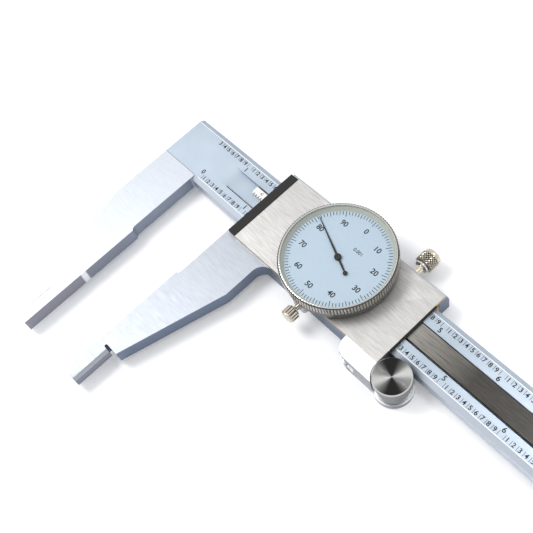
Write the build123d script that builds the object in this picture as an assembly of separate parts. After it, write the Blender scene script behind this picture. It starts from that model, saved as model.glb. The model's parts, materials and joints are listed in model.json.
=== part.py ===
from build123d import *
from math import atan2, cos, degrees, pi, radians, sin, sqrt, tan
import os

# Long-jaw dial caliper, 12 inch range, lying on its back.
# X runs along the beam from the fixed jaw, Y across it away from the jaws, Z up out of the dial.
# The origin is on the beam's back face, on its centre line, in the plane of the fixed measuring face.

inch = 25.4

# Beam
beam_thickness = 6.2
beam_half_width = 11.3
beam_left = -19.8
beam_right = 392.0
bevel_width = 1.9
bevel_drop = 1.2
groove_half_width = 4.22
groove_depth = 2.6
groove_start = 9.5
groove_cutter_radius = 30.0

# Jaws, measured from their own measuring face towards the outside
jaw_depth = 85.4
jaw_root_width = 19.8
moving_root_width = 21.4
jaw_parallel_depth = 24.5
jaw_relief = 1.15
relief_depth = 31.5
relief_round = 1.6
relief_round_share = 0.3
nib_length = 16.0
nib_width = 6.35
nib_flat_width = 4.9
shoulder_width = 9.0
undercut_width = 1.2
undercut_reach = 5.0

# Travel, with the jaws as far apart as they stand
travel = 12 * inch
opening = 27.47

# Slider, measured along X from the moving measuring face
running_clearance = 0.05
plate_thickness = 1.7
plate_start = 6.1
slider_end = 80.5
slider_lower = -17.65
slider_upper = 17.9
plate_upper = 16.3
upper_chamfer = 0.9
upper_chamfer_height = 3.2
web_thickness = 3.05
wiper_start = 2.1
wiper_height = 1.9
wiper_lower = -17.45
wiper_upper = 15.6
rear_wiper_depth = 0.48
rear_wiper_drop = 0.5
wiper_round = 0.4
plate_edge_bevel = 0.35
plate_edge_drop = 0.8
root_fillet = 5.0

# Gib
gib_thickness = 1.5
gib_lift = 0.1
gib_end_gap = 1.0
gib_recess = 0.1
gib_screw_radius = 1.0
gib_screw_from_end = 9.0
gib_screw_sink = 0.4

# Rack and gear train
rack_pitch = 0.05 * inch
rack_start = 22.1
rack_height = 1.7
rack_back_gap = 0.47
rack_end_margin = 24.0
rack_pinion_teeth = 10
rack_pinion_face = 1.4
addendum_share = 1.0
dedendum_share = 1.3
pressure_angle = 20.0
rack_tip_share = 0.2
wheel_tip_share = 0.1
wheel_root_share = 0.26
rack_root = 1.35
rack_screw_count = 5
rack_screw_inset = 4.0
rack_pinion_lift = 0.15
gear_module = 0.2
drive_teeth = 60
centre_teeth = 12
drive_face = 0.6
backlash_face = 0.5
gear_spacing = 0.35
gear_floor = 0.5
arbor_radius = 0.75
pivot_radius = 0.4
pivot_clearance = 0.03
arbor_hole_gap = 0.6
arbor_rise = 0.2
pivot_end_gap = 0.1
spring_radius = 3.4
spring_width = 0.4
spring_opening = 1.4
pinion_overlap = 0.1

# Dial
dial_centre = 44.76
bezel_radius = 21.8
bezel_bottom = 1.0
bezel_height = 7.2
skirt_inset = 0.55
skirt_wall = 1.45
knurl_height = 4.0
knurl_depth = 0.35
knurl_count = 120
bezel_edge = 0.4
bezel_edge_inset = 0.3
bezel_lip = 1.25
crystal_thickness = 0.8
crystal_drop = 0.25
crystal_play = 0.02
crystal_edge = 0.2
crystal_seat = 0.45
dial_thickness = 0.4
dial_play = 0.05
dial_below_crystal = 1.35
dial_ledge = 1.6
ledge_thickness = 0.6
case_wall = 0.9
case_floor = 0.8
case_clearance = 0.06
case_top_gap = 0.1
case_screw_inset = 2.2
case_screw_angles = (50, 130, 310)
retainer_wire = 0.3
retainer_opening = 24.0
retainer_height = 1.6
retainer_play = 0.05
retainer_groove = 0.35
pointer_length = 18.6
pointer_tail = 7.1
pointer_thickness = 0.2
pointer_lift = 0.45
pointer_hub = 1.3
pointer_hub_rise = 0.3
pointer_seat_gap = 0.02
pointer_root_half = 0.42
pointer_tip_half = 0.12
tail_root_half = 0.38
tail_end_half = 0.3
tail_disc = 0.85
dial_hole = 1.2

# Bridge over the gear train
bridge_thickness = 1.0
bridge_gap = 0.35
pillar_radius = 1.5
pillar_circle = 14.5
pillar_angles = (90, 230, 350)
bridge_arm = 4.4
bridge_centre_radius = 3.2
bridge_arbor_radius = 2.2

# Screws
plate_screw_radius = 1.0
plate_screw_head = 1.9
plate_screw_inset = 3.1
plate_screw_seat = 1.2
plate_head_height = 1.0
plate_head_gap = 0.05
small_screw_radius = 0.7
small_head_radius = 1.25
small_head_height = 0.7
thread_bite = 1.2
slot_half_width = 0.2
slot_share = 0.4
slot_depth = 0.5

# Lock screw on the upper edge
lock_x = 64.9
lock_rise = 0.4
lock_neck = 1.9
lock_neck_length = 2.4
lock_collar = 2.7
lock_collar_length = 1.0
lock_head = 3.7
lock_head_length = 6.2
lock_knurl_share = 0.55
lock_knurl_count = 24
lock_knurl_depth = 0.22
lock_cap_inset = 0.25
lock_cap_taper = 0.2
lock_cap_crown = 1.0
lock_cap_crown_inset = 1.3
lock_neck_step = 0.3
screw_clearance = 0.08

# Bezel clamp on the lower edge
clamp_half_width = 3.0
clamp_reach = 3.6
clamp_drop = 3.6
clamp_tongue = 2.2
clamp_tongue_thickness = 0.75
clamp_corner = 1.2
tongue_side_gap = 0.1
tongue_end_gap = 0.3
clamp_screw_radius = 1.1
clamp_neck_length = 1.5
clamp_head = 2.9
clamp_head_length = 4.4
clamp_screw_drop = 1.6
clamp_knurl_count = 20
clamp_knurl_depth = 0.2
clamp_end_step = 0.5

# Thumb roller and its bracket
roller_x = 87.9
roller_disc = 7.05
roller_disc_top = 8.75
roller_disc_height = 2.3
roller_drum = 6.7
roller_beam_gap = 0.1
roller_cone = 0.35
roller_edge = 0.25
roller_roof = 1.0
roller_groove = 0.25
roller_groove_height = 0.05
drum_edge = 0.3
axle_radius = 1.5
axle_clearance = 0.04
axle_seat_gap = 0.01
axle_end_gap = 0.2
bracket_start = 65.8
bracket_lower = -24.2
bracket_top = 7.7
bracket_bottom = -2.5
bracket_corner = 5.6
bracket_roller_gap = 0.35
bracket_tail_before = 4.0
eye_radius = 7.3
eye_top = -0.3
bracket_screw_radius = 1.25
bracket_head_radius = 2.2
bracket_head_depth = 1.6
bracket_head_sink = 1.5
bracket_screw_bite = 4.0
bracket_screw_drop = 0.6
bracket_screw_first = 3.0
bracket_screw_step = 5.0
bracket_socket = 1.1
bracket_head_gap = 0.1
bracket_hole_spare = 0.5
washer_thickness = 0.3
washer_radius = 3.2

# Rack cover strip in the groove
strip_gap = 0.45
strip_thickness = 0.7
strip_overlap = 5.0
strip_end_margin = 2.0

# End stop on the beam's back
stop_length = 5.5
stop_half_width = 8.0
stop_thickness = 1.6
stop_screw_spacing = 10.0

# Places worked out from the sizes above
beam_top = beam_thickness
groove_floor = beam_top - groove_depth
groove_run_out = sqrt(2 * groove_cutter_radius * groove_depth - groove_depth ** 2)
plate_bottom = beam_top + running_clearance
plate_top = plate_bottom + plate_thickness
web_top = -running_clearance
web_bottom = web_top - web_thickness
jaw_tip = -beam_half_width - jaw_depth
lower_rail_edge = -beam_half_width - running_clearance
gib_inner = beam_half_width + running_clearance
gib_outer = gib_inner + gib_thickness
rail_inner = gib_outer + running_clearance
dial_x = opening + dial_centre

rack_module = rack_pitch / pi
rack_pinion_radius = rack_pinion_teeth * rack_module / 2
rack_back = groove_half_width - rack_back_gap
rack_pitch_line = rack_root - dedendum_share * rack_module
rack_tip_line = rack_pitch_line - addendum_share * rack_module
rack_end = dial_x + travel - opening + rack_end_margin
drive_radius = drive_teeth * gear_module / 2
centre_radius = centre_teeth * gear_module / 2
train_distance = drive_radius + centre_radius
arbor_y = rack_pitch_line - rack_pinion_radius
arbor_x = dial_x - sqrt(train_distance ** 2 - arbor_y ** 2)

case_bottom = plate_top
bezel_z0 = plate_top + bezel_bottom
bezel_z1 = bezel_z0 + bezel_height
crystal_top = bezel_z1 - crystal_drop
crystal_bottom = crystal_top - crystal_thickness
crystal_radius = bezel_radius - bezel_lip
skirt_radius = bezel_radius - skirt_inset
dial_top = crystal_bottom - dial_below_crystal
dial_bottom = dial_top - dial_thickness
dial_radius = crystal_radius - crystal_seat
ledge_bottom = dial_bottom - ledge_thickness
case_top = ledge_bottom - case_top_gap
case_radius = skirt_radius - skirt_wall
sleeve_radius = case_radius + case_clearance
retainer_z = bezel_z0 + retainer_height
retainer_low = retainer_z - retainer_wire / 2
retainer_high = retainer_z + retainer_wire / 2

gear_z0 = case_bottom + case_floor + gear_floor
backlash_z0 = gear_z0 + drive_face + gear_spacing
train_top = backlash_z0 + backlash_face
bridge_bottom = train_top + bridge_gap
bridge_top = bridge_bottom + bridge_thickness
pointer_z = dial_top + pointer_lift

lock_z = beam_top / 2 + lock_rise
clamp_screw_z = plate_top - clamp_screw_drop
bracket_screw_z = beam_top / 2 - bracket_screw_drop
roller_y = -beam_half_width - roller_beam_gap - roller_drum
roller_centre = opening + roller_x
roller_disc_bottom = roller_disc_top - roller_disc_height


def box(x0, x1, y0, y1, z0, z1):
    size = (x1 - x0, y1 - y0, z1 - z0)
    return Pos((x0 + x1) / 2, (y0 + y1) / 2, (z0 + z1) / 2) * Box(*size)


def rod(x, y, z0, z1, radius):
    return Pos(x, y, (z0 + z1) / 2) * Cylinder(radius, z1 - z0)


def rod_y(x, z, y0, y1, radius):
    return Pos(x, (y0 + y1) / 2, z) * Rot(90, 0, 0) * Cylinder(radius, y1 - y0)


def plate_of(points, z0, z1):
    return Pos(0, 0, z0) * extrude(make_face(Polyline(*points, close=True)), z1 - z0)


def ring_of(profile, x, y):
    face = make_face(Polyline(*[(r, 0, z) for r, z in profile], close=True))
    return Pos(x, y, 0) * revolve(face, Axis.Z)


def pan_screw(x, y, z_head, length, radius, head_radius, head_height, up):
    # A cylinder head with its slot on the outer face; up is 1 when the shank points to +Z.
    head_end = z_head - up * head_height
    shank_end = z_head + up * length
    head = rod(x, y, min(z_head, head_end), max(z_head, head_end), head_radius)
    shank = rod(x, y, min(z_head, shank_end), max(z_head, shank_end), radius)
    slot_end = head_end + up * head_height * slot_share
    slot_low, slot_high = min(head_end, slot_end), max(head_end, slot_end)
    slot_y0, slot_y1 = y - slot_half_width, y + slot_half_width
    slot = box(x - head_radius, x + head_radius, slot_y0, slot_y1, slot_low, slot_high)
    return head + shank - slot


def angled_places(reach, angles):
    return [(dial_x + reach * cos(radians(a)), reach * sin(radians(a))) for a in angles]


def small_screw(x, y, z_head, length, up):
    return pan_screw(x, y, z_head, length, small_screw_radius, small_head_radius, small_head_height, up)


def gear(teeth, module, z0, z1, bore):
    # Straight-flanked teeth, thinner than half a pitch so that meshed gears run free.
    pitch_radius = teeth * module / 2
    tip = pitch_radius + addendum_share * module
    root = pitch_radius - dedendum_share * module
    step = 2 * pi / teeth
    points = []
    for tooth in range(teeth):
        middle = tooth * step
        corners = (
            (root, -wheel_root_share),
            (tip, -wheel_tip_share),
            (tip, wheel_tip_share),
            (root, wheel_root_share),
        )
        for radius, share in corners:
            angle = middle + share * step
            points.append((radius * cos(angle), radius * sin(angle)))
    wheel = plate_of(points, z0, z1)
    return wheel - rod(0, 0, z0 - 1, z1 + 1, bore) if bore else wheel


def jaw_outline(root_width):
    # Measuring face on X = 0, body towards -X, from the beam's edge down to the tip.
    y_root = -beam_half_width
    y_relief = y_root - relief_depth
    y_parallel = y_root - jaw_parallel_depth
    y_nib = jaw_tip + nib_length
    return [
        (-jaw_relief, y_root),
        (-jaw_relief, y_relief + relief_round),
        (-jaw_relief + relief_round * relief_round_share, y_relief + relief_round * relief_round_share),
        (0, y_relief),
        (0, jaw_tip),
        (-nib_width, jaw_tip),
        (-nib_width, y_nib),
        (-shoulder_width, y_nib),
        (-root_width, y_parallel),
        (-root_width, y_root),
    ]


def nib_round(y0, y1):
    # What is cut away to leave the nib's outer side round, crowned at nib_width.
    half = beam_thickness / 2
    drop = nib_width - nib_flat_width
    radius = (half ** 2 + drop ** 2) / (2 * drop)
    keep = Pos(-nib_width + radius, (y0 + y1) / 2, half) * Rot(90, 0, 0) * Cylinder(radius, y1 - y0 + 0.4)
    blank = box(-nib_width - 1, -nib_width + drop + 0.001, y0 - 0.2, y1, -1, beam_thickness + 1)
    return blank - keep


def jaw(root_width):
    body = plate_of(jaw_outline(root_width), 0, beam_thickness)
    y_nib = jaw_tip + nib_length
    body -= nib_round(jaw_tip, y_nib)
    slot_middle = y_nib + undercut_width / 2
    slot_end = -shoulder_width + undercut_reach
    slot = box(-shoulder_width - 1, slot_end, y_nib, y_nib + undercut_width, -1, beam_thickness + 1)
    slot += rod(slot_end, slot_middle, -1, beam_thickness + 1, undercut_width / 2)
    return body - slot


def beam():
    bar = box(beam_left, beam_right, -beam_half_width, beam_half_width, 0, beam_thickness)
    for side in (-1, 1):
        edge = side * beam_half_width
        section = [
            (0, edge, beam_top - bevel_drop),
            (0, edge - side * bevel_width, beam_top),
            (0, edge, beam_top),
        ]
        start = beam_left
        if side < 0:
            start = -jaw_relief
        bevel = extrude(make_face(Polyline(*section, close=True)), beam_right - start, dir=(1, 0, 0))
        bar -= Pos(start, 0, 0) * bevel
    bar += jaw(jaw_root_width)
    bar -= groove()
    for screw_x in rack_screw_places():
        bar -= rod(screw_x, rack_screw_y(), groove_floor - thread_bite, groove_floor + 1, small_screw_radius)
    for side in (-1, 1):
        bar -= rod(stop_middle(), side * stop_screw_spacing / 2, -1, thread_bite, small_screw_radius)
    return bar


def groove():
    # Open at the free end; towards the fixed jaw it rises to the face as the cutter's own arc.
    half = groove_half_width
    full_depth_x = groove_start + groove_run_out
    channel = box(full_depth_x, beam_right + 1, -half, half, groove_floor, beam_top + 1)
    cutter_z = groove_floor + groove_cutter_radius
    return channel + rod_y(full_depth_x, cutter_z, -half, half, groove_cutter_radius)


def rack_screw_y():
    return (rack_root + rack_back) / 2


def rack_screw_places():
    first = rack_start + rack_screw_inset
    step = (rack_end - 2 * rack_screw_inset - rack_start) / (rack_screw_count - 1)
    return [first + step * index for index in range(rack_screw_count)]


def rack():
    # Straight 20 degree teeth face -Y; a tooth gap lies at every whole pitch from the rack's start.
    teeth = int((rack_end - rack_start) / rack_pitch)
    tip_half = rack_pitch * rack_tip_share / 2
    root_half = tip_half + (rack_root - rack_tip_line) * tan(radians(pressure_angle))
    points = [(rack_start, rack_back), (rack_start, rack_root)]
    for tooth in range(teeth):
        middle = rack_start + rack_pitch * (tooth + 0.5)
        points.append((middle - root_half, rack_root))
        points.append((middle - tip_half, rack_tip_line))
        points.append((middle + tip_half, rack_tip_line))
        points.append((middle + root_half, rack_root))
    last = rack_start + rack_pitch * teeth
    points.append((last, rack_root))
    points.append((last, rack_back))
    bar = plate_of(points, groove_floor, groove_floor + rack_height)
    top = groove_floor + rack_height
    for screw_x in rack_screw_places():
        bar -= rod(screw_x, rack_screw_y(), groove_floor - 1, top + 1, small_screw_radius)
    return bar


def rack_screws():
    group = []
    y, top = rack_screw_y(), groove_floor + rack_height
    slot_y0, slot_y1 = y - slot_half_width, y + slot_half_width
    for screw_x in rack_screw_places():
        screw = rod(screw_x, y, groove_floor - thread_bite, top, small_screw_radius)
        screw -= box(screw_x - 1, screw_x + 1, slot_y0, slot_y1, top - slot_depth, top + 1)
        group.append(screw)
    return Compound(group)


def stop_middle():
    return beam_right - stop_length / 2


def end_stop():
    plate = box(beam_right - stop_length, beam_right, -stop_half_width, stop_half_width, -stop_thickness, 0)
    plate = fillet(plate.edges().filter_by(Axis.Z), 1.0)
    z_seat = -stop_thickness + small_head_height
    for side in (-1, 1):
        y = side * stop_screw_spacing / 2
        plate -= rod(stop_middle(), y, -stop_thickness - 1, 1, small_screw_radius)
        plate -= rod(stop_middle(), y, -stop_thickness - 1, z_seat, small_head_radius)
    return plate


def end_stop_screws():
    group = []
    for side in (-1, 1):
        y = side * stop_screw_spacing / 2
        z_head = -stop_thickness + small_head_height
        length = thread_bite - z_head
        group.append(small_screw(stop_middle(), y, z_head, length, 1))
    return Compound(group)


def plate_screw_places():
    xs = (opening + plate_start + plate_screw_inset, opening + slider_end - plate_screw_inset)
    ys = (slider_lower + plate_screw_inset, (rail_inner + plate_upper) / 2)
    return [(x, y) for x in xs for y in ys]


def slider_body():
    # The moving jaw, both rails and the web behind the beam are one machined piece.
    x_left = opening + jaw_relief
    x_right = opening + slider_end
    body = Pos(opening, 0, 0) * mirror(jaw(moving_root_width), Plane.YZ)
    lower_rail = box(x_left, x_right, slider_lower, lower_rail_edge, web_bottom, beam_top)
    upper_rail = box(opening + wiper_start, x_right, rail_inner, slider_upper, web_bottom, beam_top)
    web = box(opening + wiper_start, x_right, slider_lower, slider_upper, web_bottom, web_top)
    body = body - box(x_left - 3, x_right, lower_rail_edge, 0, -1, beam_top + 1)
    body = body + lower_rail + upper_rail + web
    root_corner = Vector(opening + moving_root_width, slider_lower, beam_top / 2)
    inner = body.edges().filter_by(Axis.Z).sort_by_distance(root_corner)[0]
    body = fillet(inner, root_fillet)
    section = [
        (0, slider_upper + 0.01, beam_top + 0.01),
        (0, slider_upper - upper_chamfer, beam_top + 0.01),
        (0, slider_upper + 0.01, beam_top - upper_chamfer_height),
    ]
    slope = extrude(make_face(Polyline(*section, close=True)), x_right - x_left + 2, dir=(1, 0, 0))
    body -= Pos(x_left - 1, 0, 0) * slope
    for x, y in plate_screw_places():
        body -= rod(x, y, web_bottom - 1, beam_top + 1, plate_screw_radius)
        body -= rod(x, y, web_bottom - 1, web_bottom + plate_screw_seat, plate_screw_head)
    body -= rod_y(opening + lock_x, lock_z, rail_inner - 1, slider_upper + 1, lock_neck)
    for x in gib_screw_places():
        body -= rod_y(x, beam_top / 2, rail_inner - 1, slider_upper + 1, gib_screw_radius)
    for x in bracket_screw_places():
        hole_end = slider_lower + bracket_screw_bite + bracket_hole_spare
        body -= rod_y(x, bracket_screw_z, slider_lower - 1, hole_end, bracket_screw_radius)
    return body


def gib_screw_places():
    return [opening + plate_start + gib_screw_from_end, opening + slider_end - gib_screw_from_end]


def front_plate():
    x0 = opening + plate_start
    x1 = opening + slider_end
    plate = box(x0, x1, slider_lower, plate_upper, plate_bottom, plate_top)
    section = [
        (0, plate_upper + 0.01, plate_top + 0.01),
        (0, plate_upper - plate_edge_bevel, plate_top + 0.01),
        (0, plate_upper + 0.01, plate_top - plate_edge_drop),
    ]
    slope = extrude(make_face(Polyline(*section, close=True)), x1 - x0 + 2, dir=(1, 0, 0))
    plate -= Pos(x0 - 1, 0, 0) * slope
    plate -= rod(arbor_x, arbor_y, plate_bottom - 1, plate_top + 1, arbor_radius + arbor_hole_gap)
    for x, y in plate_screw_places():
        plate -= rod(x, y, plate_bottom - 1, plate_bottom + thread_bite, plate_screw_radius)
    for x, y in case_screw_places():
        plate -= rod(x, y, plate_top - thread_bite, plate_top + 1, small_screw_radius)
    return plate


def plate_screws():
    group = []
    z_head = web_bottom + plate_screw_seat
    length = plate_bottom + thread_bite - z_head
    head = plate_screw_head - plate_head_gap
    for x, y in plate_screw_places():
        group.append(pan_screw(x, y, z_head, length, plate_screw_radius, head, plate_head_height, 1))
    return Compound(group)


def front_wiper():
    x0 = opening + wiper_start
    x1 = opening + plate_start
    z0 = beam_top + running_clearance
    wiper = box(x0, x1, wiper_lower, wiper_upper, z0, z0 + wiper_height)
    return fillet(wiper.edges().filter_by(Axis.Y).group_by(Axis.Z)[-1].group_by(Axis.X)[0], wiper_round)


def rear_wiper():
    # A felt strip that fills the small step between the plate's right end and the beam.
    x0 = opening + slider_end
    x1 = x0 + rear_wiper_depth
    return box(x0, x1, -beam_half_width, beam_half_width, plate_bottom, plate_top - rear_wiper_drop)


def gib():
    x0 = opening + wiper_start + gib_end_gap
    x1 = opening + slider_end - gib_recess
    return box(x0, x1, gib_inner, gib_outer, gib_lift, beam_top - bevel_drop)


def gib_screws():
    group = []
    for x in gib_screw_places():
        y_end, z = slider_upper - gib_screw_sink, beam_top / 2
        screw = rod_y(x, z, gib_outer, y_end, gib_screw_radius)
        screw -= box(x - 2, x + 2, y_end - slot_depth, y_end + 1, z - slot_half_width, z + slot_half_width)
        group.append(screw)
    return Compound(group)


def knurl_outline(radius, teeth, depth):
    points = []
    for tooth in range(teeth):
        for share, reach in ((0.0, radius), (0.5, radius - depth)):
            angle = 2 * pi * (tooth + share) / teeth
            points.append((reach * cos(angle), reach * sin(angle)))
    return points


def knurled_head(x, z, y0, y1, radius, teeth, depth):
    # A drum along Y with straight knurling.
    drum = plate_of(knurl_outline(radius, teeth, depth), 0, y1 - y0)
    return Pos(x, y0, z) * Rot(-90, 0, 0) * drum


def lock_screw():
    x, z = opening + lock_x, lock_z
    neck_end = slider_upper + lock_neck_length
    collar_end = neck_end + lock_collar_length
    head_end = collar_end + lock_head_length
    knurl_end = collar_end + lock_head_length * lock_knurl_share
    screw = rod_y(x, z, gib_outer, slider_upper, lock_neck - screw_clearance)
    screw += rod_y(x, z, slider_upper, neck_end, lock_neck - lock_neck_step)
    screw += rod_y(x, z, neck_end, collar_end, lock_collar)
    knurl = (lock_head, lock_knurl_count, lock_knurl_depth)
    screw += knurled_head(x, z, collar_end, knurl_end, *knurl)
    cap_length = head_end - knurl_end
    cap_radius = lock_head - lock_cap_inset
    cap = ring_of([
        (0, 0),
        (cap_radius, 0),
        (cap_radius - lock_cap_taper, cap_length - lock_cap_crown),
        (lock_head - lock_cap_crown_inset, cap_length),
        (0, cap_length),
    ], 0, 0)
    screw += Pos(x, knurl_end, z) * Rot(-90, 0, 0) * cap
    return screw


def bezel():
    # A knurled band over a smooth skirt, bored in steps for the crystal, the dial and the case.
    knurl_z0 = bezel_z1 - knurl_height
    knurl_z1 = bezel_z1 - bezel_edge
    knurl_root = bezel_radius - knurl_depth
    outline = knurl_outline(bezel_radius, knurl_count, knurl_depth)
    band = Pos(dial_x, 0, 0) * plate_of(outline, knurl_z0, knurl_z1)
    skirt = rod(dial_x, 0, bezel_z0, knurl_z0, skirt_radius)
    lip = ring_of([
        (0, knurl_z1),
        (knurl_root, knurl_z1),
        (knurl_root - bezel_edge_inset, bezel_z1),
        (0, bezel_z1),
    ], dial_x, 0)
    hollow = ring_of([
        (0, bezel_z0 - 1),
        (sleeve_radius, bezel_z0 - 1),
        (sleeve_radius, retainer_low - retainer_play),
        (sleeve_radius + retainer_wire, retainer_low - retainer_play),
        (sleeve_radius + retainer_wire, retainer_high + retainer_play),
        (sleeve_radius, retainer_high + retainer_play),
        (sleeve_radius, ledge_bottom),
        (dial_radius - dial_ledge, ledge_bottom),
        (dial_radius - dial_ledge, dial_bottom),
        (dial_radius + dial_play, dial_bottom),
        (dial_radius + dial_play, crystal_bottom),
        (crystal_radius, crystal_bottom),
        (crystal_radius, bezel_z1 + 1),
        (0, bezel_z1 + 1),
    ], dial_x, 0)
    return band + skirt + lip - hollow


def crystal():
    disc = rod(dial_x, 0, crystal_bottom, crystal_top, crystal_radius - crystal_play)
    return chamfer(disc.edges().group_by(Axis.Z)[-1], crystal_edge)


def dial_face():
    disc = rod(dial_x, 0, dial_bottom, dial_top, dial_radius)
    return disc - rod(dial_x, 0, dial_bottom - 1, dial_top + 1, dial_hole)


def case_screw_places():
    return angled_places(case_radius - case_wall - case_screw_inset, case_screw_angles)


def pillar_places():
    return angled_places(pillar_circle, pillar_angles)


def dial_case():
    body = rod(dial_x, 0, case_bottom, case_top, case_radius)
    body -= rod(dial_x, 0, case_bottom + case_floor, case_top + 1, case_radius - case_wall)
    body -= ring_of([
        (case_radius - retainer_groove, retainer_low - retainer_play),
        (case_radius + 1, retainer_low - retainer_play),
        (case_radius + 1, retainer_high + retainer_play),
        (case_radius - retainer_groove, retainer_high + retainer_play),
    ], dial_x, 0)
    floor_top = case_bottom + case_floor
    body -= rod(arbor_x, arbor_y, case_bottom - 1, floor_top + 1, arbor_radius + pivot_clearance)
    body -= rod(dial_x, 0, case_bottom - 1, floor_top + 1, pivot_radius + pivot_clearance)
    for x, y in case_screw_places():
        body -= rod(x, y, case_bottom - 1, floor_top + 1, small_screw_radius)
    for x, y in pillar_places():
        body += rod(x, y, floor_top, bridge_bottom, pillar_radius)
        body -= rod(x, y, bridge_bottom - thread_bite, bridge_bottom + 1, small_screw_radius)
    tongue_x = clamp_half_width + tongue_side_gap
    tongue_y = slider_lower + clamp_tongue + tongue_end_gap
    body -= box(dial_x - tongue_x, dial_x + tongue_x, -case_radius - 1, tongue_y, case_bottom - 1, floor_top)
    return body


def case_screws():
    group = []
    for x, y in case_screw_places():
        group.append(small_screw(x, y, case_bottom + case_floor, case_floor + thread_bite, -1))
    return Compound(group)


def bezel_retainer():
    middle = case_radius + case_clearance / 2
    half = retainer_wire / 2
    ring = ring_of([
        (middle - half, retainer_low),
        (middle + half, retainer_low),
        (middle + half, retainer_high),
        (middle - half, retainer_high),
    ], dial_x, 0)
    reach = case_radius + 2
    gap = radians(retainer_opening / 2)
    wedge_corners = [(0, 0), (reach * cos(gap), -reach * sin(gap)), (reach * cos(gap), reach * sin(gap))]
    return ring - Pos(dial_x, 0, 0) * plate_of(wedge_corners, bezel_z0, bezel_z1)


def movement_bridge():
    # A three-legged bridge that carries the upper pivots of both arbors.
    body = rod(dial_x, 0, bridge_bottom, bridge_top, bridge_centre_radius)
    body += rod(arbor_x, arbor_y, bridge_bottom, bridge_top, bridge_arbor_radius)
    body += bar_between((dial_x, 0), (arbor_x, arbor_y), bridge_arm)
    for x, y in pillar_places():
        body += bar_between((dial_x, 0), (x, y), bridge_arm)
        body += rod(x, y, bridge_bottom, bridge_top, bridge_arm / 2)
    for x, y in pillar_places():
        body -= rod(x, y, bridge_bottom - 1, bridge_top + 1, small_screw_radius)
    body -= rod(dial_x, 0, bridge_bottom - 1, bridge_top + 1, pivot_radius + pivot_clearance)
    body -= rod(arbor_x, arbor_y, bridge_bottom - 1, bridge_top + 1, pivot_radius + pivot_clearance)
    return body


def bar_between(start, end, width):
    length = sqrt((end[0] - start[0]) ** 2 + (end[1] - start[1]) ** 2)
    angle = degrees(atan2(end[1] - start[1], end[0] - start[0]))
    bar = Pos(length / 2, 0, (bridge_bottom + bridge_top) / 2) * Box(length, width, bridge_thickness)
    return Pos(start[0], start[1], 0) * Rot(0, 0, angle) * bar


def bridge_screws():
    group = []
    for x, y in pillar_places():
        group.append(small_screw(x, y, bridge_top, bridge_thickness + thread_bite, -1))
    return Compound(group)


def rack_pinion_angle():
    # One tooth points into a rack gap; each pitch of travel turns the pinion by one tooth.
    phase = ((arbor_x - rack_start) / rack_pitch) % 1.0
    return 90.0 + 360.0 / rack_pinion_teeth * phase


def train_angle():
    return degrees(atan2(-arbor_y, dial_x - arbor_x))


def rack_pinion():
    z0 = groove_floor + rack_pinion_lift
    z1 = z0 + rack_pinion_face
    wheel = gear(rack_pinion_teeth, rack_module, z0, z1, 0)
    wheel = Rot(0, 0, rack_pinion_angle()) * wheel
    shaft = rod(0, 0, z1, train_top + arbor_rise, arbor_radius)
    shaft += rod(0, 0, train_top, bridge_top - pivot_end_gap, pivot_radius)
    return Pos(arbor_x, arbor_y, 0) * (wheel + shaft)


def drive_gear():
    wheel = gear(drive_teeth, gear_module, gear_z0, gear_z0 + drive_face, arbor_radius)
    return Pos(arbor_x, arbor_y, 0) * Rot(0, 0, rack_pinion_angle()) * wheel


def backlash_gear():
    bore = arbor_radius + pivot_clearance
    wheel = gear(drive_teeth, gear_module, backlash_z0, backlash_z0 + backlash_face, bore)
    return Pos(arbor_x, arbor_y, 0) * Rot(0, 0, rack_pinion_angle()) * wheel


def backlash_spring():
    # An open ring between the two gears that turns them against each other.
    z0 = gear_z0 + drive_face
    ring = rod(0, 0, z0, z0 + gear_spacing, spring_radius)
    ring -= rod(0, 0, z0 - 1, z0 + gear_spacing + 1, spring_radius - spring_width)
    half = spring_opening / 2
    ring -= box(0, spring_radius + 1, -half, half, z0 - 1, z0 + gear_spacing + 1)
    return Pos(arbor_x, arbor_y, 0) * ring


def centre_pinion():
    step_drive = 360.0 / drive_teeth
    ratio = drive_teeth / centre_teeth
    offset = (rack_pinion_angle() - train_angle()) % step_drive
    angle = train_angle() + 180 - ratio * offset + 180.0 / centre_teeth
    wheel_bottom = gear_z0 - pinion_overlap
    wheel = Rot(0, 0, angle) * gear(centre_teeth, gear_module, wheel_bottom, train_top, 0)
    shaft = rod(0, 0, case_bottom + pivot_end_gap, wheel_bottom, pivot_radius)
    shaft += rod(0, 0, train_top, pointer_z - pointer_seat_gap, pivot_radius)
    return Pos(dial_x, 0, 0) * (wheel + shaft)


def pointer_angle():
    return 90.0 - 360.0 * (opening / (0.1 * inch) % 1.0)


def taper(start, start_half, end, end_half):
    return [(start, -start_half), (end, -end_half), (end, end_half), (start, start_half)]


def pointer():
    z0 = pointer_z
    z1 = z0 + pointer_thickness
    blade = plate_of(taper(0, pointer_root_half, pointer_length, pointer_tip_half), z0, z1)
    tail = plate_of(taper(0, tail_root_half, -pointer_tail, tail_end_half), z0, z1)
    tail += rod(-pointer_tail, 0, z0, z1, tail_disc)
    hub = rod(0, 0, z0 - pointer_hub_rise, z1 + pointer_hub_rise, pointer_hub)
    hub -= rod(0, 0, z0 - pointer_hub_rise - 1, z0 - pointer_seat_gap, pivot_radius)
    return Pos(dial_x, 0, 0) * Rot(0, 0, pointer_angle()) * (blade + tail + hub)


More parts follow.
